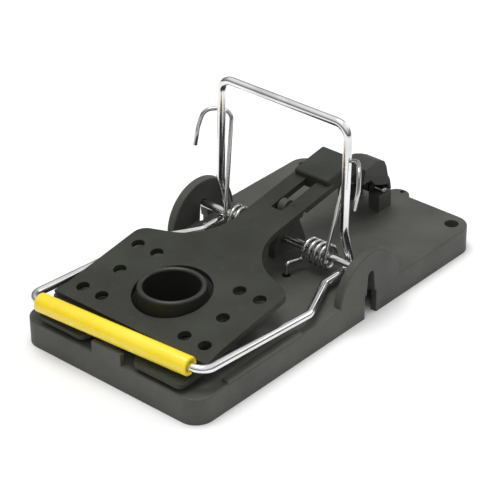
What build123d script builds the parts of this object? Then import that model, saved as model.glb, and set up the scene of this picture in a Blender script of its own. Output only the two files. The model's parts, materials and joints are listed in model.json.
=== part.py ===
from build123d import *
from math import asin, atan, cos, degrees, hypot, radians, sin, tan
import os

# Snap mouse trap, in millimetres.
# X runs across the trap, +Y points to the rear catch, +Z is up.
# The origin is the centre of the base, on the surface that it stands on.
# The trap is modelled sprung: the kill bow lies on the front of the treadle.

# Base moulding
BASE_WIDTH = 70.0
BASE_LENGTH = 129.0
BASE_HEIGHT = 8.6
WALL = 2.0
DECK = 2.0
CORNER_RADIUS = 6.0
EDGE_ROUND = 0.5
RIB_WIDTH = 1.4
RIB_HEIGHT = 3.0
RIB_FRONT_INSET = 43.0
RIB_REAR_INSET = 38.7
RIM_WIDTH = 2.4
RIM_HEIGHT = 1.0
RIM_FRONT_INSET = 13.0
RIM_LENGTH = 32.0
RIM_SIDE_INSET = 0.2
NAIL_HOLE = 4.6
NAIL_HOLE_INSET = 5.2
NAIL_BOSS_WALL = 1.6
NAIL_BOSS_HEIGHT = 7.6
STOP_TAB_WIDTH = 11.4
STOP_TAB_THICKNESS = 1.6
STOP_TAB_RISE = 3.6
REAR_TAB_X = 5.6
REAR_TAB_RADIUS = 4.0
REAR_TAB_REACH = 2.2
REAR_TAB_THICKNESS = 2.6
REAR_TAB_HOLE = 1.6
REAR_TAB_HOLE_REACH = 0.95

# Axle rod and its ears
AXLE_Y = 12.0
AXLE_Z = 14.2
AXLE_DIAMETER = 2.7
AXLE_CLEARANCE = 0.08
AXLE_INSET = 1.4
EAR_THICKNESS = 3.0
EAR_RADIUS = 14.0
EAR_CENTRE_Z = 8.0
EAR_SLOT_FOOT = 4.1
WALL_SLOT = 5.6

# Rear catch, which holds the cross bar of the setting bow
CATCH_INSET = 11.3
CATCH_Z = 15.2
CATCH_PIN_DIAMETER = 2.0
CATCH_PIN_HALF_LENGTH = 7.9
CATCH_HEAD_LEFT = 1.6
CATCH_HEAD_RIGHT = 8.8
CATCH_CORE_RIGHT = 1.9
CATCH_HUB_HALF_WIDTH = 2.6
CATCH_HUB_RADIUS = 2.2
POST_HALF_WIDTH = 8.3
POST_INNER = 2.9
POST_CHEEK = 1.3
POST_CHEEK_RADIUS = 1.75
POST_FRONT = 3.3
POST_REAR = 2.8
POST_TOP = 14.5
POST_CHAMFER = 1.5
POST_GAP = 0.3
PIN_CLEARANCE = 0.08

# Striker, one bent wire that forms the kill bow and the setting bow
WIRE_DIAMETER = 2.7
KILL_SIDE_INSET = 2.5
KILL_FRONT_INSET = 3.4
KILL_BAR_Z = 15.5
KILL_BAR_SKEW = 4.3
KILL_CORNER = 4.2
JOG_LENGTH = 16.5
JOG_REAR = 9.0
JOG_FRONT_Z = 12.0
JOG_BEND = 4.0
SETTING_SIDE_INSET = 10.5
SETTING_OVERREACH = 4.4
SETTING_LEAN = 1.4
SETTING_CORNER = 4.2
KINK_RISE = 11.0
KINK_BEND = 9.0
WRAP_GAP = 0.3
BUTT_GAP = 0.5

# Plastic sleeve on the front bar of the kill bow
SLEEVE_DIAMETER = 5.9
SLEEVE_END_GAP = 0.4
SLEEVE_CLEARANCE = 0.1

# Treadle, a sloping plate that turns on a small pin over the axle
PIVOT_Y = 14.2
PIVOT_Z = 23.6
PLATE_PIVOT_Z = 25.65
LIP_TOP_Z = 12.0
LIP_DROP = 1.9
LIP_THICKNESS = 1.5
LIP_EDGE_INSET = 0.1
LIP_SIDE_STEP = 1.0
LIP_NOTCH_FRONT = 10.2
LIP_NOTCH_REAR = 7.4
LIP_NOTCH_DEPTH = 6.0
PLATE_THICKNESS = 2.0
PAN_SIDE_GAP = 1.75
PAN_FRONT_INSET = 9.5
PAN_REAR_REACH = 18.1
SHOULDER_DROP = 0.6
SHOULDER_RISE = 7.2
SHOULDER_CORNER = 4.5
SHOULDER_SWEEP = 18.0
PAN_HOLE = 4.1
PAN_HOLES = [(5.3, 10.9), (13.0, 10.9), (9.0, -0.8), (5.3, -12.6), (13.0, -12.6)]
NECK_HALF_WIDTH = 7.6
NECK_SLOT_GAP = 0.8
NECK_SLOT_FRONT = 9.6
PAD_HALF_WIDTH = 6.7
PAD_LENGTH = 14.1
PAD_HEIGHT = 2.2
PAD_DEPTH = 3.0
PAD_CATCH_GAP = 12.9
PAD_ROUND = 0.8
PIVOT_PIN_DIAMETER = 1.8
PIVOT_POST_WIDTH = 2.6
PIVOT_POST_RADIUS = 2.5
PIVOT_POST_FRONT = 4.5
PIVOT_POST_REAR = 10.0
LUG_WIDTH = 1.8
LUG_RADIUS = 2.2
LUG_GAP = 0.35

# Bait cup, pushed in from under the base
CUP_INSET = 27.9
CUP_DIAMETER = 22.2
CUP_OPENING_GAP = 1.0
CUP_TAPER = 0.8
CUP_WALL = 2.6
CUP_TOP = 20.2
CUP_TAPER_Z = 12.6
CUP_FLOOR = 7.0
CUP_FLANGE_WIDTH = 1.9
CUP_FLANGE_THICKNESS = 1.6
CUP_SEAT_WALL = 1.5
CUP_CLEARANCE = 0.1

# Torsion springs, one on each side of the treadle's neck
SPRING_WIRE = 1.35
COIL_DIAMETER = 6.9
COIL_PITCH = 2.05
COIL_NECK_GAP = 3.8
COIL_BOW_GAP = 4.6
COIL_FOOT_ANGLE = 190.0
FOOT_LEAD = 1.6
FOOT_REACH = 9.2
FOOT_INSET = 1.5
FOOT_Z = 12.7
FOOT_GAP = 0.3
FOOT_TOE = 2.6
FOOT_BEND = 1.0
FOOT_HOLE = 2.8
HOOK_FALL = 13.0
HOOK_GAP = 0.6
HOOK_BEND = 2.4

HALF_W = BASE_WIDTH / 2
HALF_L = BASE_LENGTH / 2
WIRE_R = WIRE_DIAMETER / 2
AXLE_R = AXLE_DIAMETER / 2
WRAP_RADIUS = AXLE_R + WIRE_R + WRAP_GAP
WRAP_REACH = (KINK_RISE + WRAP_RADIUS) * tan(asin(WRAP_RADIUS / KINK_RISE))
WRAP_Z = AXLE_Z - WRAP_RADIUS
UNDER_DECK = BASE_HEIGHT - DECK
CATCH_Y = HALF_L - CATCH_INSET
CUP_Y = -HALF_L + CUP_INSET
KILL_HALF_WIDTH = HALF_W - KILL_SIDE_INSET
KILL_BAR_Y = -HALF_L + KILL_FRONT_INSET
SETTING_HALF_WIDTH = HALF_W - SETTING_SIDE_INSET
SETTING_RISE = CATCH_Y - AXLE_Y + SETTING_OVERREACH
LIP_FRONT = -HALF_L + LIP_EDGE_INSET
PAN_FRONT = -HALF_L + PAN_FRONT_INSET
PAN_REAR = CUP_Y + PAN_REAR_REACH
PAN_HALF_WIDTH = KILL_HALF_WIDTH - WIRE_R - PAN_SIDE_GAP
LIP_HALF_WIDTH = PAN_HALF_WIDTH - LIP_SIDE_STEP
NECK_END = CATCH_Y - PAD_CATCH_GAP
PAD_FRONT = NECK_END - PAD_LENGTH
PLATE_SLOPE = (PLATE_PIVOT_Z - LIP_TOP_Z - LIP_DROP) / (PIVOT_Y - KILL_BAR_Y)
SLOPE = degrees(atan(PLATE_SLOPE))
NECK_SLOT_WIDTH = PIVOT_POST_WIDTH + 2 * NECK_SLOT_GAP
CUP_OPENING = CUP_DIAMETER + 2 * CUP_OPENING_GAP
CUP_FLANGE_DIAMETER = CUP_DIAMETER + 2 * CUP_FLANGE_WIDTH
COIL_INNER = NECK_HALF_WIDTH + COIL_NECK_GAP
COIL_OUTER = SETTING_HALF_WIDTH - COIL_BOW_GAP
HOOK_RISE = SETTING_RISE - HOOK_FALL
HOOK_REAR = SETTING_LEAN + WIRE_R + SPRING_WIRE / 2 + HOOK_GAP
ARM_LEAN = degrees(atan(HOOK_REAR / HOOK_RISE) + asin(COIL_DIAMETER / 2 / hypot(HOOK_RISE, HOOK_REAR)))
FOOT_X = COIL_INNER - FOOT_INSET
FOOT_Y = AXLE_Y - FOOT_REACH


def box(x0, x1, y0, y1, z0, z1):
    """A box between two corners."""
    size = (x1 - x0, y1 - y0, z1 - z0)
    middle = ((x0 + x1) / 2, (y0 + y1) / 2, (z0 + z1) / 2)
    return Pos(*middle) * Box(*size)


def bar_x(y, z, radius, x0, x1):
    """A round bar along X."""
    return Pos((x0 + x1) / 2, y, z) * Rot(0, 90, 0) * Cylinder(radius, x1 - x0)


def side_plate(points, x0, x1):
    """A plate with a Y-Z outline, from x0 to x1."""
    outline = Polyline(*[(x0, y, z) for y, z in points], close=True)
    return extrude(make_face(outline), x1 - x0, dir=(1, 0, 0))


def plate_z(y):
    """Height of the treadle's top face at y."""
    return PLATE_PIVOT_Z + PLATE_SLOPE * (y - PIVOT_Y)


def on_plate(shape, drop=0.0):
    """Put a shape drawn about (x, y, 0) on the treadle's sloping top face."""
    lowered = Pos(0, 0, -drop) * shape
    return Pos(0, PIVOT_Y, PLATE_PIVOT_Z) * Rot(SLOPE, 0, 0) * lowered


def along(y):
    """Distance along the treadle's slope to the section at y."""
    return (y - PIVOT_Y) / cos(radians(SLOPE))


def slab(face, thickness, drop=0.0):
    """A flat part of the treadle, its top face drop below the plate's top."""
    return on_plate(extrude(face, thickness, dir=(0, 0, -1)), drop)


def closed_face(points):
    return make_face(Polyline(*points, close=True))


def mirror_x(points):
    """Follow the points and then their mirror images back."""
    return points + [(-x, y) for x, y in reversed(points)]


def base_shell():
    outer = extrude(RectangleRounded(BASE_WIDTH, BASE_LENGTH, CORNER_RADIUS), BASE_HEIGHT)
    outer = fillet(outer.edges().group_by(Axis.Z)[-1], EDGE_ROUND)
    inner_size = (BASE_WIDTH - 2 * WALL, BASE_LENGTH - 2 * WALL)
    hollow = extrude(RectangleRounded(*inner_size, CORNER_RADIUS - WALL), UNDER_DECK)
    return outer - hollow


def base_ribs():
    """Stiffening ribs under the deck, two across and two along."""
    inner_x = HALF_W - WALL
    inner_y = HALF_L - WALL
    foot = UNDER_DECK - RIB_HEIGHT
    half = RIB_WIDTH / 2
    rib_x = CUP_FLANGE_DIAMETER / 2 + CUP_SEAT_WALL + 2 * half
    ribs = []
    for y in (-HALF_L + RIB_FRONT_INSET, HALF_L - RIB_REAR_INSET):
        ribs.append(box(-inner_x, inner_x, y - half, y + half, foot, UNDER_DECK))
    for x in (-rib_x, rib_x):
        ribs.append(box(x - half, x + half, -inner_y, inner_y, foot, UNDER_DECK))
    return ribs


def side_rim(side):
    y0 = -HALF_L + RIM_FRONT_INSET
    x1 = HALF_W - RIM_SIDE_INSET
    foot = BASE_HEIGHT - EDGE_ROUND
    rim = box(x1 - RIM_WIDTH, x1, y0, y0 + RIM_LENGTH, foot, BASE_HEIGHT + RIM_HEIGHT)
    rim = fillet(rim.edges().filter_by(Axis.Z), EDGE_ROUND)
    return rim if side > 0 else mirror(rim, Plane.YZ)


def ear(side):
    x0 = HALF_W - EAR_THICKNESS
    disc = bar_x(AXLE_Y, EAR_CENTRE_Z, EAR_RADIUS, x0, HALF_W)
    disc = fillet(disc.edges().filter_by(GeomType.CIRCLE), EDGE_ROUND)
    reach = 2 * EAR_RADIUS
    disc -= box(x0 - 1, HALF_W + 1, AXLE_Y - reach, AXLE_Y + reach, -reach, UNDER_DECK)
    return disc if side > 0 else mirror(disc, Plane.YZ)


def ear_slot(side):
    """The tapered slot that the axle rod lies in, open at the foot of the wall."""
    half_top = AXLE_R + AXLE_CLEARANCE
    half_foot = EAR_SLOT_FOOT / 2
    x0 = HALF_W - EAR_THICKNESS - 0.5
    taper = [
        (AXLE_Y - half_foot, BASE_HEIGHT - 1),
        (AXLE_Y + half_foot, BASE_HEIGHT - 1),
        (AXLE_Y + half_top, AXLE_Z),
        (AXLE_Y - half_top, AXLE_Z),
    ]
    slot = side_plate(taper, x0, HALF_W + 1)
    slot += bar_x(AXLE_Y, AXLE_Z, half_top, x0, HALF_W + 1)
    slot += box(x0, HALF_W + 1, AXLE_Y - WALL_SLOT / 2, AXLE_Y + WALL_SLOT / 2, -1, BASE_HEIGHT - 0.6)
    return slot if side > 0 else mirror(slot, Plane.YZ)


def pivot_post():
    """The centre web that steadies the axle rod and carries the treadle's pin."""
    half = PIVOT_POST_WIDTH / 2
    front = AXLE_Y - PIVOT_POST_FRONT
    rear = AXLE_Y + PIVOT_POST_REAR
    outline = [
        (front, UNDER_DECK),
        (rear, UNDER_DECK),
        (rear, BASE_HEIGHT + 1.5),
        (PIVOT_Y + PIVOT_POST_RADIUS, PIVOT_Z),
        (PIVOT_Y - PIVOT_POST_RADIUS, PIVOT_Z),
        (front, BASE_HEIGHT + 3.0),
    ]
    web = side_plate(outline, -half, half)
    web += bar_x(PIVOT_Y, PIVOT_Z, PIVOT_POST_RADIUS, -half, half)
    web -= bar_x(AXLE_Y, AXLE_Z, AXLE_R + AXLE_CLEARANCE, -half - 1, half + 1)
    web -= bar_x(PIVOT_Y, PIVOT_Z, PIVOT_PIN_DIAMETER / 2 + PIN_CLEARANCE, -half - 1, half + 1)
    return web


def catch_post(side):
    """One of the two posts that hold the catch's pin."""
    pin_r = CATCH_PIN_DIAMETER / 2 + PIN_CLEARANCE
    front = CATCH_Y - POST_FRONT
    rear = CATCH_Y + POST_REAR
    outline = [
        (POST_INNER, front + POST_CHAMFER),
        (POST_INNER + POST_CHAMFER, front),
        (POST_HALF_WIDTH, front),
        (POST_HALF_WIDTH, rear),
        (POST_INNER, rear),
    ]
    post = Pos(0, 0, UNDER_DECK) * extrude(closed_face(outline), POST_TOP - UNDER_DECK)
    post += bar_x(CATCH_Y, CATCH_Z, POST_CHEEK_RADIUS, POST_INNER, POST_INNER + POST_CHEEK)
    post -= bar_x(CATCH_Y, CATCH_Z, pin_r, POST_INNER - 1, CATCH_PIN_HALF_LENGTH + PIN_CLEARANCE)
    return post if side > 0 else mirror(post, Plane.YZ)


def rear_tab():
    """The small half-round hanging tab on the rear edge."""
    z0 = BASE_HEIGHT - REAR_TAB_THICKNESS
    centre_y = HALF_L + REAR_TAB_REACH - REAR_TAB_RADIUS
    tab = Cylinder(REAR_TAB_RADIUS, REAR_TAB_THICKNESS)
    tab = Pos(REAR_TAB_X, centre_y, z0 + REAR_TAB_THICKNESS / 2) * tab
    tab -= box(-HALF_W, HALF_W, -HALF_L, HALF_L - WALL / 2, z0 - 1, BASE_HEIGHT + 1)
    return tab


def hanging_hole():
    y = HALF_L + REAR_TAB_HOLE_REACH
    return Pos(REAR_TAB_X, y, BASE_HEIGHT / 2) * Cylinder(REAR_TAB_HOLE / 2, 2 * BASE_HEIGHT)


def nail_boss(side):
    x = side * (HALF_W - NAIL_HOLE_INSET)
    y = HALF_L - NAIL_HOLE_INSET
    boss = extrude(Circle(NAIL_HOLE / 2 + NAIL_BOSS_WALL), NAIL_BOSS_HEIGHT)
    return Pos(x, y, BASE_HEIGHT - NAIL_BOSS_HEIGHT) * boss


def nail_hole(side):
    x = side * (HALF_W - NAIL_HOLE_INSET)
    y = HALF_L - NAIL_HOLE_INSET
    return Pos(x, y, BASE_HEIGHT / 2) * Cylinder(NAIL_HOLE / 2, 2 * BASE_HEIGHT)


def foot_hole(side):
    """The deck hole that a spring's foot hooks through."""
    return Pos(side * FOOT_X, FOOT_Y, UNDER_DECK) * Cylinder(FOOT_HOLE / 2, 3 * DECK)


def cup_seat():
    """The ring under the deck that the bait cup's flange sits in."""
    inner = CUP_FLANGE_DIAMETER / 2 + CUP_CLEARANCE
    height = CUP_FLANGE_THICKNESS + 0.8
    ring = Circle(inner + CUP_SEAT_WALL) - Circle(inner)
    return Pos(0, CUP_Y, UNDER_DECK) * extrude(ring, height, dir=(0, 0, -1))


def make_base():
    base = base_shell()
    for rib in base_ribs():
        base += rib
    seat_r = CUP_FLANGE_DIAMETER / 2 + CUP_CLEARANCE
    base -= Pos(0, CUP_Y, UNDER_DECK / 2) * Cylinder(seat_r, UNDER_DECK)
    base += cup_seat()
    base += pivot_post()
    half_tab = STOP_TAB_WIDTH / 2
    tab_rear = -HALF_L + STOP_TAB_THICKNESS
    tab_top = BASE_HEIGHT + STOP_TAB_RISE
    base += box(-half_tab, half_tab, -HALF_L, tab_rear, UNDER_DECK, tab_top)
    base += rear_tab()
    base -= hanging_hole()
    for side in (-1, 1):
        base += side_rim(side)
        base += ear(side)
        base += catch_post(side)
        base += nail_boss(side)
        base -= nail_hole(side)
        base -= ear_slot(side)
        base -= foot_hole(side)
    base -= Pos(0, CUP_Y, BASE_HEIGHT) * Cylinder(CUP_DIAMETER / 2 + CUP_CLEARANCE, 4 * DECK)
    return base


def make_bait_cup():
    flange_foot = UNDER_DECK - CUP_FLANGE_THICKNESS
    flange_r = CUP_FLANGE_DIAMETER / 2
    wall_r = CUP_DIAMETER / 2
    rim_r = wall_r - CUP_TAPER
    bore_r = wall_r - CUP_WALL
    lip_r = (rim_r - bore_r) / 2
    lip_z = CUP_TOP - lip_r
    outer = Polyline(
        (0, flange_foot),
        (flange_r, flange_foot),
        (flange_r, UNDER_DECK),
        (wall_r, UNDER_DECK),
        (wall_r, CUP_TAPER_Z),
        (rim_r, lip_z),
    )
    lip = ThreePointArc((rim_r, lip_z), (rim_r - lip_r, CUP_TOP), (bore_r, lip_z))
    inner = Polyline((bore_r, lip_z), (bore_r, CUP_FLOOR), (0, CUP_FLOOR), (0, flange_foot))
    profile = make_face(Plane.XZ * (outer + lip + inner))
    return Pos(0, CUP_Y, 0) * revolve(profile, Axis.Z)


def pan_face():
    """The treadle's pan and neck as seen square to its slope."""
    front = along(PAN_FRONT)
    rear = along(PAN_REAR)
    neck_end = along(PAD_FRONT) + 2.0
    shoulder = rear - SHOULDER_DROP
    throat = shoulder + SHOULDER_RISE
    outline = [
        (0, front),
        (PAN_HALF_WIDTH + 0.8, front),
        (PAN_HALF_WIDTH, front + 6.0),
        (PAN_HALF_WIDTH, shoulder),
        (NECK_HALF_WIDTH, throat),
        (NECK_HALF_WIDTH, neck_end),
        (0, neck_end),
    ]
    half = closed_face(outline)
    half = fillet([v for v in half.vertices() if v.X > 1 and abs(v.Y - throat) < 0.01], SHOULDER_SWEEP)
    half = fillet([v for v in half.vertices() if v.X > 1 and abs(v.Y - shoulder) < 0.01], SHOULDER_CORNER)
    return half + mirror(half, Plane.YZ)


def pan_openings():
    depth = 4 * PLATE_THICKNESS
    cuts = [on_plate(Pos(0, along(CUP_Y), 0) * Cylinder(CUP_OPENING / 2, depth))]
    for inset, reach in PAN_HOLES:
        for side in (-1, 1):
            x = side * (PAN_HALF_WIDTH - inset)
            cuts.append(on_plate(Pos(x, along(CUP_Y + reach), 0) * Cylinder(PAN_HOLE / 2, depth)))
    front = along(NECK_SLOT_FRONT)
    rear = along(PAD_FRONT)
    slot = Box(NECK_SLOT_WIDTH, rear - front, depth)
    cuts.append(on_plate(Pos(0, (front + rear) / 2, 0) * slot))
    return cuts


def front_lip():
    """The lower shelf in front of the pan, notched for the base's stop tab."""
    front = along(LIP_FRONT)
    pan_front = along(PAN_FRONT)
    outline = mirror_x(
        [
            (LIP_NOTCH_REAR, front + LIP_NOTCH_DEPTH),
            (LIP_NOTCH_FRONT, front),
            (LIP_HALF_WIDTH, front),
            (PAN_HALF_WIDTH, pan_front + LIP_THICKNESS),
        ]
    )
    face = closed_face(outline)
    face = fillet([v for v in face.vertices() if v.Y < front + 0.1], 2.2)
    edge = PAN_HALF_WIDTH + 0.2
    riser = closed_face(mirror_x([(edge, pan_front), (edge, pan_front + LIP_THICKNESS)]))
    return slab(face, LIP_THICKNESS, LIP_DROP) + slab(riser, LIP_DROP + LIP_THICKNESS)


def rear_pad():
    """The raised block at the end of the neck, whose rear face holds the catch."""
    pad = Box(2 * PAD_HALF_WIDTH, along(NECK_END) - along(PAD_FRONT), PAD_HEIGHT + PAD_DEPTH)
    pad = fillet(pad.edges().group_by(Axis.Z)[-1] + pad.edges().filter_by(Axis.Z), PAD_ROUND)
    middle = (along(NECK_END) + along(PAD_FRONT)) / 2
    return on_plate(Pos(0, middle, (PAD_HEIGHT - PAD_DEPTH) / 2) * pad)


def pivot_lugs():
    lugs = []
    gap = NECK_SLOT_WIDTH / 2
    for side in (-1, 1):
        x0 = side * gap
        x1 = side * (gap + LUG_WIDTH)
        low, high = min(x0, x1), max(x0, x1)
        lug = bar_x(PIVOT_Y, PIVOT_Z, LUG_RADIUS, low, high)
        top = plate_z(PIVOT_Y) - PLATE_THICKNESS / 2
        lug += box(low, high, PIVOT_Y - LUG_RADIUS, PIVOT_Y + LUG_RADIUS, PIVOT_Z, top)
        lugs.append(lug)
    return lugs


def make_treadle():
    treadle = slab(pan_face(), PLATE_THICKNESS)
    treadle += front_lip()
    treadle += rear_pad()
    for lug in pivot_lugs():
        treadle += lug
    for cut in pan_openings():
        treadle -= cut
    pin_r = PIVOT_PIN_DIAMETER / 2 + PIN_CLEARANCE
    treadle -= bar_x(PIVOT_Y, PIVOT_Z, pin_r, -NECK_HALF_WIDTH, NECK_HALF_WIDTH)
    clearance_r = PIVOT_POST_RADIUS + LUG_GAP
    treadle -= bar_x(PIVOT_Y, PIVOT_Z, clearance_r, -NECK_SLOT_WIDTH / 2, NECK_SLOT_WIDTH / 2)
    return treadle


def make_pivot_pin():
    half = NECK_SLOT_WIDTH / 2 + LUG_WIDTH - 0.1
    pin = bar_x(PIVOT_Y, PIVOT_Z, PIVOT_PIN_DIAMETER / 2, -half, half)
    return chamfer(pin.edges().filter_by(GeomType.CIRCLE), 0.2)


def make_axle():
    half = HALF_W - AXLE_INSET
    rod = bar_x(AXLE_Y, AXLE_Z, AXLE_R, -half, half)
    return chamfer(rod.edges().filter_by(GeomType.CIRCLE), 0.3)


def bar_point(x):
    """Front bar's centre line at x."""
    slope = KILL_BAR_SKEW / (2 * KILL_HALF_WIDTH)
    return (x, KILL_BAR_Y + slope * x, KILL_BAR_Z)


def striker_half(side):
    """Corner points and bend radii of one side of the striker, from the front bar up."""
    setting_x = side * SETTING_HALF_WIDTH
    jog_rear = AXLE_Y - JOG_REAR
    points = [
        bar_point(side * BUTT_GAP / 2),
        bar_point(side * KILL_HALF_WIDTH),
        (side * KILL_HALF_WIDTH, jog_rear - JOG_LENGTH, JOG_FRONT_Z),
        (setting_x, jog_rear, WRAP_Z),
        (setting_x, AXLE_Y + WRAP_REACH, WRAP_Z),
        (setting_x, AXLE_Y, AXLE_Z + KINK_RISE),
        (setting_x, AXLE_Y + SETTING_LEAN, AXLE_Z + SETTING_RISE),
    ]
    radii = [KILL_CORNER, JOG_BEND, JOG_BEND, WRAP_RADIUS, KINK_BEND, SETTING_CORNER]
    return points, radii


def wire_sweep(path, diameter):
    """A round wire along a path of straight runs and tangent arcs."""
    start = path @ 0
    section = Plane(origin=start, z_dir=path % 0) * Circle(diameter / 2)
    return sweep(section, path=path)


def make_striker():
    right, radii = striker_half(1)
    left, _ = striker_half(-1)
    path = FilletPolyline(*right, *reversed(left), radius=radii + radii[::-1])
    return wire_sweep(path, WIRE_DIAMETER)


def make_sleeve():
    half = KILL_HALF_WIDTH - KILL_CORNER - SLEEVE_END_GAP
    start = Vector(*bar_point(-half))
    along_bar = Vector(*bar_point(half)) - start
    ring = Circle(SLEEVE_DIAMETER / 2) - Circle(WIRE_R + SLEEVE_CLEARANCE)
    tube = extrude(Plane(origin=start, z_dir=along_bar) * ring, along_bar.length, dir=along_bar)
    outer_rims = tube.edges().filter_by(GeomType.CIRCLE).sort_by(SortBy.LENGTH)[-2:]
    return fillet(outer_rims, EDGE_ROUND)


def spring_path():
    """A coil round the axle, a foot under the deck and a hook past the setting bow."""
    length = COIL_OUTER - COIL_INNER
    turns = int(length / COIL_PITCH) + (COIL_FOOT_ANGLE - 180 + ARM_LEAN) / 360
    start_dir = (0, cos(radians(COIL_FOOT_ANGLE)), sin(radians(COIL_FOOT_ANGLE)))
    frame = Plane(origin=(COIL_INNER, AXLE_Y, AXLE_Z), x_dir=start_dir, z_dir=(1, 0, 0))
    coil = frame * Helix(length / turns, length, COIL_DIAMETER / 2, lefthand=True)
    toe_z = UNDER_DECK - SPRING_WIRE / 2 - FOOT_GAP
    foot = FilletPolyline(
        (FOOT_X, FOOT_Y + FOOT_TOE, toe_z),
        (FOOT_X, FOOT_Y, toe_z),
        (FOOT_X, FOOT_Y, FOOT_Z),
        coil @ 0 - (coil % 0) * FOOT_LEAD,
        coil @ 0,
        radius=FOOT_BEND,
    )
    hook_y = AXLE_Y + HOOK_REAR
    hook_z = AXLE_Z + HOOK_RISE
    rise = coil % 1
    knee = coil @ 1 + rise * ((hook_z - (coil @ 1).Z) / rise.Z)
    bow_x = SETTING_HALF_WIDTH
    arm = FilletPolyline(
        coil @ 1,
        knee,
        (bow_x + 2.0, hook_y - 0.6, hook_z + 1.2),
        (bow_x + 5.6, hook_y - 5.4, hook_z + 1.0),
        (bow_x + 6.9, hook_y - 6.3, hook_z - 4.6),
        (bow_x + 6.7, hook_y - 8.0, hook_z - 10.2),
        radius=HOOK_BEND,
    )
    return Wire(list(foot.edges()) + [coil] + list(arm.edges()))


def make_spring(side):
    spring = wire_sweep(spring_path(), SPRING_WIRE)
    return spring if side > 0 else mirror(spring, Plane.YZ)


def from_pin(points):
    """Outline points of the catch, given from its pin's centre."""
    return [(CATCH_Y + y, CATCH_Z + z) for y, z in points]


def catch_head():
    """The guard on the right that stands over the pin."""
    outline = [
        (-12.2, 7.5),
        (-11.0, 12.2),
        (-4.8, 13.1),
        (-1.7, 11.6),
        (-0.6, 9.4),
        (0.3, 5.8),
        (1.5, 3.6),
        (2.1, 0.2),
        (1.4, 0.2),
        (0.4, 2.7),
        (-2.0, 3.2),
        (-6.2, 5.0),
        (-8.2, 7.5),
    ]
    head = side_plate(from_pin(outline), CATCH_HEAD_LEFT, CATCH_HEAD_RIGHT)
    cheek_end = POST_INNER + POST_CHEEK + POST_GAP
    head -= bar_x(CATCH_Y, CATCH_Z, POST_CHEEK_RADIUS + POST_GAP, POST_INNER - POST_GAP, cheek_end)
    return head


def catch_core():
    """The nose under the treadle's pad, the hook for the cross bar and the hub."""
    outline = [
        (-14.5, 8.05),
        (-11.4, 8.1),
        (-9.8, 10.0),
        (-4.8, 11.2),
        (-1.7, 10.4),
        (1.6, 9.0),
        (2.0, 7.3),
        (0.0, 6.7),
        (0.7, 5.2),
        (1.6, 3.2),
        (2.0, 0.8),
        (0.0, -1.0),
        (-2.0, -0.2),
        (-2.0, 2.0),
        (-3.8, 5.2),
        (-8.2, 6.0),
        (-13.7, 5.4),
    ]
    core = side_plate(from_pin(outline), -CATCH_HUB_HALF_WIDTH, CATCH_CORE_RIGHT)
    core += bar_x(CATCH_Y, CATCH_Z, CATCH_HUB_RADIUS, -CATCH_HUB_HALF_WIDTH, CATCH_HUB_HALF_WIDTH)
    return core


def make_catch():
    catch = catch_core() + catch_head()
    bore = CATCH_PIN_DIAMETER / 2 + PIN_CLEARANCE
    catch -= bar_x(CATCH_Y, CATCH_Z, bore, -POST_INNER, CATCH_HEAD_RIGHT + 1)
    return catch


def make_catch_pin():
    half = CATCH_PIN_HALF_LENGTH
    pin = bar_x(CATCH_Y, CATCH_Z, CATCH_PIN_DIAMETER / 2, -half, half)
    return chamfer(pin.edges().filter_by(GeomType.CIRCLE), 0.25)


def build():
    os.makedirs("parts", exist_ok=True)
    pieces = {
        "base": make_base(),
        "bait_cup": make_bait_cup(),
        "treadle": make_treadle(),
        "treadle_pivot_pin": make_pivot_pin(),
        "axle_rod": make_axle(),
        "striker_wire": make_striker(),
        "striker_sleeve": make_sleeve(),
        "left_spring": make_spring(-1),
        "right_spring": make_spring(1),
        "catch_lever": make_catch(),
        "catch_pin": make_catch_pin(),
    }
    for name, shape in pieces.items():
        export_step(shape, f"parts/{name}.step")


build()
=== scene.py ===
import bpy
import bmesh
import json
from math import asin, atan, cos, hypot, pi, radians, sin, tan
from mathutils import Matrix, Quaternion, Vector


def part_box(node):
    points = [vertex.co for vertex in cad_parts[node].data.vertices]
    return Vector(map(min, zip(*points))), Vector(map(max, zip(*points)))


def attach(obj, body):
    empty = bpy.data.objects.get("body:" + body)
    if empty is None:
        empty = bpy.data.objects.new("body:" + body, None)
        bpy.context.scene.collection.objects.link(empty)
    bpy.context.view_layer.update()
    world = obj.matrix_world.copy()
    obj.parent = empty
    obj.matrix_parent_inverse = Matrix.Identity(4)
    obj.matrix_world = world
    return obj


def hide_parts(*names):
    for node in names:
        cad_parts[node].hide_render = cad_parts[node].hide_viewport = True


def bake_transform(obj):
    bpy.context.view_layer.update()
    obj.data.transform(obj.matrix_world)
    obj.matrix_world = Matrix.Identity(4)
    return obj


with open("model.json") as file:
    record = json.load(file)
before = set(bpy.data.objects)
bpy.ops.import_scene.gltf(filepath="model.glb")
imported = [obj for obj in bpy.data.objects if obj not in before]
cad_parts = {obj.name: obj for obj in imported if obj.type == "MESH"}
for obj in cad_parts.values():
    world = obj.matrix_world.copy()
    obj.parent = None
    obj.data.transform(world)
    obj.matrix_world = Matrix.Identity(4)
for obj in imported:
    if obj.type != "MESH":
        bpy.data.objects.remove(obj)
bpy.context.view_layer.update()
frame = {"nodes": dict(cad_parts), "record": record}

MM = 0.001
NODES = frame["nodes"]
JOINTS = {joint["name"]: joint for joint in frame["record"]["behaviour"]["joints"]}
AXLE = Vector(JOINTS["striker_swing"]["pos_m"])

# Camera
AZIMUTH = radians(41.577)
ELEVATION = radians(31.186)
ROLL = radians(-0.769)
CAMERA_DISTANCE = 651.771 * MM
CAMERA_AIM = Vector((-17.42, 17.218, 0.0)) * MM
LENS_MM = 148.75
SENSOR_MM = 36.0

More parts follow.
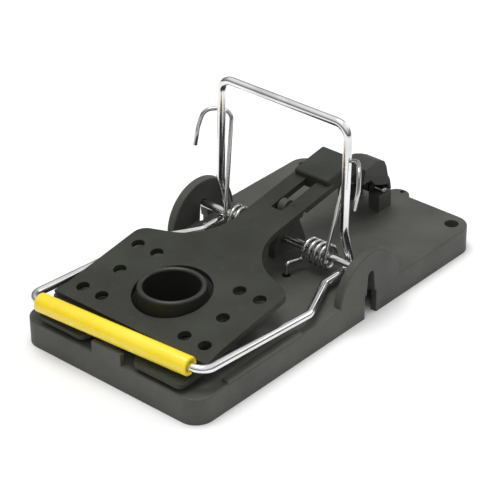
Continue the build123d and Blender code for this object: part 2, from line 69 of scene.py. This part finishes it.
# Striker wire
WIRE = 2.7 * MM
BUTT_GAP = 0.5 * MM
BAR_SKEW = 4.3 * MM
JOG_FRONT = 25.5 * MM
JOG_FRONT_DROP = 2.2 * MM
JOG_REAR = 9.0 * MM
BOW_INSET = 8.0 * MM
WRAP = 3.0 * MM
KINK_RISE = 11.0 * MM
SETTING_LEAN = 1.4 * MM
STRIKER_BENDS = [bend * MM for bend in (4.2, 4.0, 4.0, 3.0, 9.0, 4.2)]

# Sleeve
SLEEVE_RADIUS = 2.95 * MM
SLEEVE_BORE = 1.5 * MM
SLEEVE_END_INSET = 4.6 * MM
SLEEVE_LIP = 0.5 * MM

# Torsion springs
SPRING_WIRE = 1.35 * MM
COIL_RADIUS = 3.45 * MM
COIL_PITCH = 2.05 * MM
COIL_INNER = 11.4 * MM
COIL_BOW_GAP = 4.6 * MM
COIL_START = radians(190.0)
FOOT_LEAD = 1.6 * MM
FOOT_INSET = 1.5 * MM
FOOT_REACH = 9.2 * MM
FOOT_Z = 12.7 * MM
FOOT_BEND = 1.0 * MM
TOE = 2.6 * MM
TOE_Z = 5.625 * MM
HOOK_FALL = 13.0 * MM
HOOK_REAR = 4.025 * MM
HOOK_BENDS = [bend * MM for bend in (2.6, 2.6, 3.6, 8.0)]


# ---------- camera, floor and light ----------

def make_camera():
    back = Vector((sin(AZIMUTH) * cos(ELEVATION), -cos(AZIMUTH) * cos(ELEVATION), sin(ELEVATION)))
    level = Vector((cos(AZIMUTH), sin(AZIMUTH), 0.0))
    upright = back.cross(level)
    right = level * cos(ROLL) + upright * sin(ROLL)
    up = upright * cos(ROLL) - level * sin(ROLL)
    data = bpy.data.cameras.new("camera")
    data.sensor_width = SENSOR_MM
    data.lens = LENS_MM
    data.clip_start = 0.01
    data.clip_end = 10.0
    camera = bpy.data.objects.new("camera", data)
    bpy.context.scene.collection.objects.link(camera)
    turned = Matrix((right, up, back)).transposed().to_4x4()
    place = CAMERA_AIM + back * CAMERA_DISTANCE
    camera.matrix_world = Matrix.Translation(place) @ turned
    bpy.context.scene.camera = camera


def area_light(name, place, aim, width, height, power):
    data = bpy.data.lights.new(name, "AREA")
    data.shape = "RECTANGLE"
    data.size = width
    data.size_y = height
    data.energy = power
    light = bpy.data.objects.new(name, data)
    bpy.context.scene.collection.objects.link(light)
    light.location = place
    light.rotation_mode = "QUATERNION"
    light.rotation_quaternion = (Vector(aim) - Vector(place)).to_track_quat("-Z", "Y")


def make_world():
    """Soft white sky that darkens towards the horizon, so that bright metal shows dark bands."""
    world = bpy.data.worlds.new("studio")
    world.use_nodes = True
    bpy.context.scene.world = world
    tree = world.node_tree
    place = tree.nodes.new("ShaderNodeTexCoord")
    height = tree.nodes.new("ShaderNodeSeparateXYZ")
    ramp = tree.nodes.new("ShaderNodeValToRGB")
    stops = ramp.color_ramp.elements
    stops[0].position, stops[0].color = 0.05, (0.1, 0.1, 0.1, 1.0)
    stops[1].position, stops[1].color = 0.75, (1.0, 1.0, 1.0, 1.0)
    stops.new(0.4).color = (0.42, 0.42, 0.42, 1.0)
    tree.links.new(place.outputs["Generated"], height.inputs["Vector"])
    tree.links.new(height.outputs["Z"], ramp.inputs["Fac"])
    tree.links.new(ramp.outputs["Color"], tree.nodes["Background"].inputs["Color"])
    tree.nodes["Background"].inputs["Strength"].default_value = 0.95


def make_floor():
    half = 2.0
    corners = [(-half, -half, 0), (half, -half, 0), (half, half, 0), (-half, half, 0)]
    mesh = bpy.data.meshes.new("floor")
    mesh.from_pydata(corners, [], [(0, 1, 2, 3)])
    floor = bpy.data.objects.new("floor", mesh)
    bpy.context.scene.collection.objects.link(floor)
    material = bpy.data.materials.new("floor_white")
    material.use_nodes = True
    shader = material.node_tree.nodes["Principled BSDF"]
    shader.inputs["Base Color"].default_value = (0.98, 0.98, 0.98, 1.0)
    shader.inputs["Roughness"].default_value = 0.7
    mesh.materials.append(material)


def make_studio():
    bpy.context.scene.view_settings.view_transform = "Standard"
    make_world()
    area_light("key_light", (-0.12, -0.05, 1.0), (0, 0, 0.01), 0.45, 0.45, 4.6)
    area_light("fill_light", (0.7, -0.5, 0.55), (0, 0, 0.02), 0.6, 0.6, 0.15)
    area_light("rear_light", (0.25, 0.75, 0.45), (0, 0.03, 0.01), 0.6, 0.35, 0.9)
    make_floor()


# ---------- materials ----------

class Nodes:
    """Short names for building one material's node tree."""

    def __init__(self, name):
        self.material = bpy.data.materials.new(name)
        self.material.use_nodes = True
        self.tree = self.material.node_tree
        self.shader = self.tree.nodes["Principled BSDF"]
        self.place = self.add("ShaderNodeTexCoord").outputs["Object"]

    def add(self, kind, **values):
        node = self.tree.nodes.new(kind)
        for key, value in values.items():
            setattr(node, key, value)
        return node

    def link(self, source, target):
        self.tree.links.new(source, target)

    def noise(self, scale, detail=3.0, roughness=0.5, stretch=None):
        node = self.add("ShaderNodeTexNoise")
        node.inputs["Scale"].default_value = scale
        node.inputs["Detail"].default_value = detail
        node.inputs["Roughness"].default_value = roughness
        place = self.place
        if stretch:
            mapping = self.add("ShaderNodeMapping")
            mapping.inputs["Scale"].default_value = stretch
            self.link(place, mapping.inputs["Vector"])
            place = mapping.outputs["Vector"]
        self.link(place, node.inputs["Vector"])
        return node.outputs["Fac"]

    def ramp(self, source, stops):
        node = self.add("ShaderNodeValToRGB")
        elements = node.color_ramp.elements
        elements[0].position, elements[0].color = stops[0][0], (*stops[0][1], 1.0)
        elements[1].position, elements[1].color = stops[-1][0], (*stops[-1][1], 1.0)
        for position, colour in stops[1:-1]:
            elements.new(position).color = (*colour, 1.0)
        self.link(source, node.inputs["Fac"])
        return node.outputs["Color"]

    def remap(self, source, low, high, out_low, out_high):
        node = self.add("ShaderNodeMapRange")
        node.inputs["From Min"].default_value = low
        node.inputs["From Max"].default_value = high
        node.inputs["To Min"].default_value = out_low
        node.inputs["To Max"].default_value = out_high
        self.link(source, node.inputs["Value"])
        return node.outputs["Result"]

    def mix(self, fac, a, b, blend="MIX"):
        node = self.add("ShaderNodeMix", data_type="RGBA", blend_type=blend)
        for source, key in ((fac, 0), (a, 6), (b, 7)):
            if isinstance(source, tuple):
                node.inputs[key].default_value = (*source, 1.0)
            elif isinstance(source, float):
                node.inputs[key].default_value = source
            else:
                self.link(source, node.inputs[key])
        return node.outputs[2]

    def bump(self, height, distance, strength=1.0, normal=None):
        node = self.add("ShaderNodeBump")
        node.inputs["Distance"].default_value = distance
        node.inputs["Strength"].default_value = strength
        self.link(height, node.inputs["Height"])
        if normal:
            self.link(normal, node.inputs["Normal"])
        return node.outputs["Normal"]

    def bevel(self, radius):
        node = self.add("ShaderNodeBevel", samples=6)
        node.inputs["Radius"].default_value = radius
        return node.outputs["Normal"]

    def edge(self, bevel_normal):
        """1 on a sharp edge and 0 on a flat face."""
        geometry = self.add("ShaderNodeNewGeometry")
        dot = self.add("ShaderNodeVectorMath", operation="DOT_PRODUCT")
        self.link(bevel_normal, dot.inputs[0])
        self.link(geometry.outputs["Normal"], dot.inputs[1])
        return self.remap(dot.outputs["Value"], 0.995, 0.8, 0.0, 1.0)


def moulded_plastic(name, colour, worn, rough, grain=0.00004, gloss=0.45):
    """Matt moulded plastic: fine spark texture, faint flow marks and edges rubbed lighter."""
    n = Nodes(name)
    dark = tuple(c * 0.76 for c in colour)
    light = tuple(c * 1.27 for c in colour)
    cloud = n.noise(45.0, 4.0, 0.55)
    base = n.ramp(cloud, [(0.32, dark), (0.5, colour), (0.7, light)])
    dust = n.ramp(n.noise(900.0, 2.0, 0.6), [(0.6, (0, 0, 0)), (0.8, (1, 1, 1))])
    base = n.mix(n.remap(dust, 0.0, 1.0, 0.0, 0.3), base, worn)
    rounded = n.bevel(0.00035)
    rub = n.add("ShaderNodeMath", operation="MULTIPLY")
    n.link(n.edge(rounded), rub.inputs[0])
    n.link(n.remap(n.noise(160.0, 4.0), 0.35, 0.65, 0.15, 0.75), rub.inputs[1])
    base = n.mix(rub.outputs[0], base, worn)
    n.link(base, n.shader.inputs["Base Color"])
    sheen = n.remap(n.noise(70.0, 5.0, 0.6), 0.3, 0.7, rough - 0.07, rough + 0.08)
    n.link(sheen, n.shader.inputs["Roughness"])
    n.shader.inputs["Specular IOR Level"].default_value = gloss
    fine = n.bump(n.noise(2400.0, 2.0, 0.7), grain, 0.7, rounded)
    flow = n.bump(n.noise(38.0, 2.0), 0.00018, 0.35, fine)
    n.link(flow, n.shader.inputs["Normal"])
    return n.material


def bright_steel(name, colour, rough, stretch, tarnish):
    """Drawn, plated wire: faint draw lines, soft dull patches and a few pin-head spots."""
    n = Nodes(name)
    patches = n.ramp(n.noise(70.0, 4.0, 0.55), [(0.45, colour), (0.85, tarnish)])
    spots = n.ramp(n.noise(620.0, 2.0, 0.5), [(0.74, (0, 0, 0)), (0.8, (1, 1, 1))])
    base = n.mix(n.remap(spots, 0.0, 1.0, 0.0, 0.25), patches, tuple(c * 0.6 for c in tarnish))
    n.link(base, n.shader.inputs["Base Color"])
    n.shader.inputs["Metallic"].default_value = 1.0
    n.link(n.remap(n.noise(120.0, 4.0, 0.6), 0.35, 0.7, rough, rough + 0.08), n.shader.inputs["Roughness"])
    lines = n.bump(n.noise(1500.0, 3.0, 0.7, stretch), 0.000006, 0.35)
    dents = n.bump(n.noise(190.0, 2.0), 0.00002, 0.25, lines)
    n.link(dents, n.shader.inputs["Normal"])
    return n.material


def sleeve_plastic(name):
    """Glossy extruded yellow tube, a little paler where it has been handled."""
    n = Nodes(name)
    cloud = n.noise(60.0, 4.0, 0.55)
    yellows = [(0.3, (0.92, 0.64, 0.006)), (0.55, (0.97, 0.74, 0.014)), (0.8, (0.99, 0.8, 0.05))]
    base = n.ramp(cloud, yellows)
    streaks = n.noise(420.0, 3.0, 0.7, (0.35, 2.0, 2.0))
    scuffs = n.ramp(streaks, [(0.63, (0, 0, 0)), (0.75, (1, 1, 1))])
    base = n.mix(n.remap(scuffs, 0.0, 1.0, 0.0, 0.3), base, (0.70, 0.50, 0.05))
    n.link(base, n.shader.inputs["Base Color"])
    n.link(n.remap(n.noise(90.0, 4.0), 0.3, 0.7, 0.2, 0.36), n.shader.inputs["Roughness"])
    n.shader.inputs["Subsurface Weight"].default_value = 0.08
    n.shader.inputs["Subsurface Scale"].default_value = 0.002
    n.shader.inputs["Subsurface Radius"].default_value = (1.0, 0.7, 0.2)
    n.shader.inputs["Coat Weight"].default_value = 0.35
    n.shader.inputs["Coat Roughness"].default_value = 0.12
    draw = n.bump(n.noise(700.0, 2.0, 0.5, (0.05, 1.0, 1.0)), 0.00003, 0.4)
    n.link(n.bump(n.noise(120.0, 2.0), 0.00008, 0.3, draw), n.shader.inputs["Normal"])
    return n.material


def finish_node(name, material):
    """Give a CAD node its better material."""
    slots = NODES[name].material_slots
    for slot in slots:
        slot.material = material


# ---------- wires ----------

def rounded_path(corners, bends, step=radians(7)):
    """Points along straight runs joined by tangent arcs. bends holds one radius for each inner corner."""
    points = [Vector(corners[0])]
    for before, corner, after, radius in zip(corners, corners[1:], corners[2:], bends):
        before, corner, after = Vector(before), Vector(corner), Vector(after)
        inward = (corner - before).normalized()
        outward = (after - corner).normalized()
        turn = inward.angle(outward)
        reach = radius * tan(turn / 2)
        start = corner - inward * reach
        axis = inward.cross(outward).normalized()
        centre = start + axis.cross(inward) * radius
        count = max(3, int(turn / step))
        for i in range(count + 1):
            spin = Quaternion(axis, turn * i / count)
            points.append(centre + spin @ (start - centre))
    points.append(Vector(corners[-1]))
    return points


def tube(name, points, radius, sides=20, bevel=0.12):
    """A round wire along the points, with its cut ends slightly broken."""
    bm = bmesh.new()
    rings = []
    tangents = []
    for i, point in enumerate(points):
        before = points[max(i - 1, 0)]
        after = points[min(i + 1, len(points) - 1)]
        tangents.append((after - before).normalized())
    side = tangents[0].orthogonal().normalized()
    stations = []
    for before, point, tangent in zip([tangents[0]] + tangents, points, tangents):
        side = before.rotation_difference(tangent) @ side
        side = (side - tangent * side.dot(tangent)).normalized()
        stations.append((point, tangent, side, radius))
    nick = radius * bevel
    first, last = stations[0], stations[-1]
    stations[0] = (first[0] + first[1] * nick, *first[1:])
    stations[-1] = (last[0] - last[1] * nick, *last[1:])
    stations.insert(0, (first[0], first[1], first[2], radius - nick))
    stations.append((last[0], last[1], last[2], radius - nick))
    for point, tangent, across, size in stations:
        other = tangent.cross(across)
        ring = []
        for k in range(sides):
            angle = 2 * pi * k / sides
            ring.append(bm.verts.new(point + (across * cos(angle) + other * sin(angle)) * size))
        rings.append(ring)
    for ring, following in zip(rings, rings[1:]):
        for k in range(sides):
            face = bm.faces.new((ring[k], ring[(k + 1) % sides], following[(k + 1) % sides], following[k]))
            face.smooth = True
    bm.faces.new(list(reversed(rings[0])))
    bm.faces.new(rings[-1])
    return piece_from(bm, name)


def piece_from(bm, name):
    bmesh.ops.recalc_face_normals(bm, faces=bm.faces)
    mesh = bpy.data.meshes.new(name)
    bm.to_mesh(mesh)
    bm.free()
    piece = bpy.data.objects.new(name, mesh)
    bpy.context.scene.collection.objects.link(piece)
    return piece


def lathe(name, profile, sides=64):
    """A closed ring turned about X. profile holds (x, radius) points in order round the section."""
    bm = bmesh.new()
    columns = []
    for k in range(sides):
        angle = 2 * pi * k / sides
        columns.append([bm.verts.new((x, r * cos(angle), r * sin(angle))) for x, r in profile])
    count = len(profile)
    for k in range(sides):
        here, there = columns[k], columns[(k + 1) % sides]
        for i in range(count):
            j = (i + 1) % count
            face = bm.faces.new((here[i], here[j], there[j], there[i]))
            face.smooth = True
    return piece_from(bm, name)


def dress(piece, material, slot, body, *nodes):
    piece.data.materials.append(material)
    if nodes:
        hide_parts(*nodes)
    if body:
        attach(piece, body)
    return piece


# ---------- the pieces ----------

def box_centre(node):
    low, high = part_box(node)
    return (low + high) / 2


def bow_x(high):
    """Where the setting bow's legs stand, from the striker's box."""
    return high.x - WIRE / 2 - BOW_INSET


def striker_side(side, high):
    """Centre-line corners of one side of the striker, from the front bar up."""
    kill_x = high.x - WIRE / 2
    skew = BAR_SKEW / (2 * kill_x)
    bar = box_centre("striker_sleeve")
    top_z = high.z - WIRE / 2
    leg_x = side * bow_x(high)
    wrap_reach = (KINK_RISE + WRAP) * tan(asin(WRAP / KINK_RISE))
    half_gap = side * BUTT_GAP / 2
    return [
        (half_gap, bar.y + skew * half_gap, bar.z),
        (side * kill_x, bar.y + skew * side * kill_x, bar.z),
        (side * kill_x, AXLE.y - JOG_FRONT, AXLE.z - JOG_FRONT_DROP),
        (leg_x, AXLE.y - JOG_REAR, AXLE.z - WRAP),
        (leg_x, AXLE.y + wrap_reach, AXLE.z - WRAP),
        (leg_x, AXLE.y, AXLE.z + KINK_RISE),
        (leg_x, AXLE.y + SETTING_LEAN, top_z),
    ]


def make_striker():
    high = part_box("striker_wire")[1]
    right = striker_side(1, high)
    left = striker_side(-1, high)
    path = rounded_path(right + left[::-1], STRIKER_BENDS + STRIKER_BENDS[::-1])
    wire = tube("striker_bow", path, WIRE / 2, 24)
    steel = bright_steel("striker_plated", (0.78, 0.78, 0.79), 0.1, (1.0, 1.0, 1.0), (0.5, 0.5, 0.49))
    dress(wire, steel, "striker_steel", "striker", "striker_wire")
    return right, left


def make_sleeve(right, left):
    """The tube on the front bar, with rolled-in ends."""
    start, end = Vector(left[1]), Vector(right[1])
    along = (end - start).normalized()
    middle = (start + end) / 2
    half = (end - start).length / 2 - SLEEVE_END_INSET
    round_x = half - SLEEVE_LIP
    round_r = SLEEVE_RADIUS - SLEEVE_LIP
    profile = []
    for sign in (1, -1):
        arc = [radians(a) for a in (0, 22, 45, 68, 90)]
        outside = [(sign * (round_x + SLEEVE_LIP * sin(a)), round_r + SLEEVE_LIP * cos(a)) for a in arc]
        mouth = (sign * (half - 0.2 * MM), SLEEVE_BORE + 0.02 * MM)
        throat = (sign * (half - 2.0 * MM), SLEEVE_BORE)
        inside = [mouth, throat]
        if sign > 0:
            profile += outside + inside
        else:
            profile += inside[::-1] + outside[::-1]
    sleeve = lathe("striker_tube", profile, 72)
    turned = Vector((1, 0, 0)).rotation_difference(along).to_matrix().to_4x4()
    sleeve.data.transform(Matrix.Translation(middle) @ turned)
    dress(sleeve, sleeve_plastic("sleeve_yellow"), "sleeve_plastic", "striker", "striker_sleeve")


def coil_end_lean(hook_rise):
    """Angle of the arm off upright, so that it passes behind the setting bow's leg."""
    return atan(HOOK_REAR / hook_rise) + asin(COIL_RADIUS / hypot(hook_rise, HOOK_REAR))


def coil_points(outer, turns):
    """Points of the coil, from the foot's end at COIL_INNER out to outer."""
    sweep = 2 * pi * turns
    count = int(turns * 40)
    points = []
    for i in range(count + 1):
        t = i / count
        angle = COIL_START - sweep * t
        x = COIL_INNER + (outer - COIL_INNER) * t
        points.append(Vector((x, AXLE.y + COIL_RADIUS * cos(angle), AXLE.z + COIL_RADIUS * sin(angle))))
    return points


def coil_heading(outer, sweep, angle):
    """Direction of the wire at an angle of the coil."""
    advance = (outer - COIL_INNER) / sweep
    return Vector((advance, COIL_RADIUS * sin(angle), -COIL_RADIUS * cos(angle))).normalized()


def foot_points(first, lead):
    """The foot, which hooks under the deck and runs up to the coil's first point."""
    hole = Vector((COIL_INNER - FOOT_INSET, AXLE.y - FOOT_REACH, TOE_Z))
    corners = [
        hole + Vector((0.0, TOE, 0.0)),
        hole,
        Vector((hole.x, hole.y, FOOT_Z)),
        first - lead * FOOT_LEAD,
        first,
    ]
    return rounded_path(corners, [FOOT_BEND] * 3, radians(12))


def arm_points(last, rise, leg_x, hook_rise):
    """The straight arm and its hook, which passes behind the setting bow's leg."""
    hook_y = AXLE.y + HOOK_REAR
    hook_z = AXLE.z + hook_rise
    knee = last + rise * ((hook_z - last.z) / rise.z)
    bow = Vector((leg_x, hook_y, hook_z))
    corners = [
        last,
        knee,
        bow + Vector((2.0, -0.6, 1.2)) * MM,
        bow + Vector((5.8, -4.6, 1.1)) * MM,
        bow + Vector((6.9, -6.3, -4.6)) * MM,
        bow + Vector((6.7, -8.0, -10.2)) * MM,
    ]
    arm = rounded_path(corners, HOOK_BENDS)
    straight = [arm[0].lerp(arm[1], i / 12) for i in range(1, 12)]
    return straight + arm[1:]


def spring_points(side, leg_x, top_z):
    """Centre line of a torsion spring: foot, coil and hook."""
    outer = leg_x - COIL_BOW_GAP
    hook_rise = top_z - HOOK_FALL - AXLE.z
    lean = coil_end_lean(hook_rise)
    turns = int((outer - COIL_INNER) / COIL_PITCH) + (COIL_START - pi + lean) / (2 * pi)
    sweep = 2 * pi * turns
    coil = coil_points(outer, turns)
    foot = foot_points(coil[0], coil_heading(outer, sweep, COIL_START))
    arm = arm_points(coil[-1], coil_heading(outer, sweep, COIL_START - sweep), leg_x, hook_rise)
    points = foot[:-1] + coil + arm
    return [Vector((side * p.x, p.y, p.z)) for p in points]


def make_springs():
    """Both springs, each held by the base at its foot and by the striker at its hook."""
    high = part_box("striker_wire")[1]
    leg_x = bow_x(high)
    steel = bright_steel("spring_plated", (0.5, 0.5, 0.49), 0.2, (1.0, 1.0, 1.0), (0.28, 0.28, 0.27))
    for side, node in ((-1, "left_spring"), (1, "right_spring")):
        points = spring_points(side, leg_x, high.z - WIRE / 2)
        spring = tube(node + "_wire", points, SPRING_WIRE / 2, 14)
        dress(spring, steel, "spring_steel", None, node)
        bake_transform(spring)


def make_rods():
    """The axle rod and the two small pins, with broken ends."""
    steel = bright_steel("rod_plated", (0.66, 0.66, 0.66), 0.18, (0.05, 1.0, 1.0), (0.42, 0.42, 0.42))
    for node, slot, body in (
        ("axle_rod", "axle_steel", "base"),
        ("catch_pin", "pin_steel", "base"),
        ("treadle_pivot_pin", "pin_steel", "treadle"),
    ):
        low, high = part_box(node)
        centre = (low + high) / 2
        radius = (high.z - low.z) / 2
        points = [Vector((low.x + (high.x - low.x) * i / 10, centre.y, centre.z)) for i in range(11)]
        rod = tube(node + "_turned", points, radius, 32, 0.2)
        dress(rod, steel, slot, body, node)


def finish_plastics():
    """The four moulded parts. Each has its own charcoal, worn colour and roughness."""
    base = moulded_plastic("base_charcoal", (0.062, 0.064, 0.055), (0.13, 0.131, 0.12), 0.55, gloss=0.4)
    treadle = moulded_plastic(
        "treadle_charcoal", (0.034, 0.036, 0.029), (0.09, 0.092, 0.082), 0.62, gloss=0.18
    )
    cup = moulded_plastic("cup_charcoal", (0.02, 0.021, 0.018), (0.05, 0.05, 0.046), 0.36, 0.00002)
    catch = moulded_plastic(
        "catch_charcoal", (0.042, 0.043, 0.039), (0.11, 0.111, 0.102), 0.55, gloss=0.25
    )
    finish_node("base", base)
    finish_node("treadle", treadle)
    finish_node("bait_cup", cup)
    finish_node("catch_lever", catch)


make_camera()
make_studio()
finish_plastics()
right, left = make_striker()
make_sleeve(right, left)
make_springs()
make_rods()
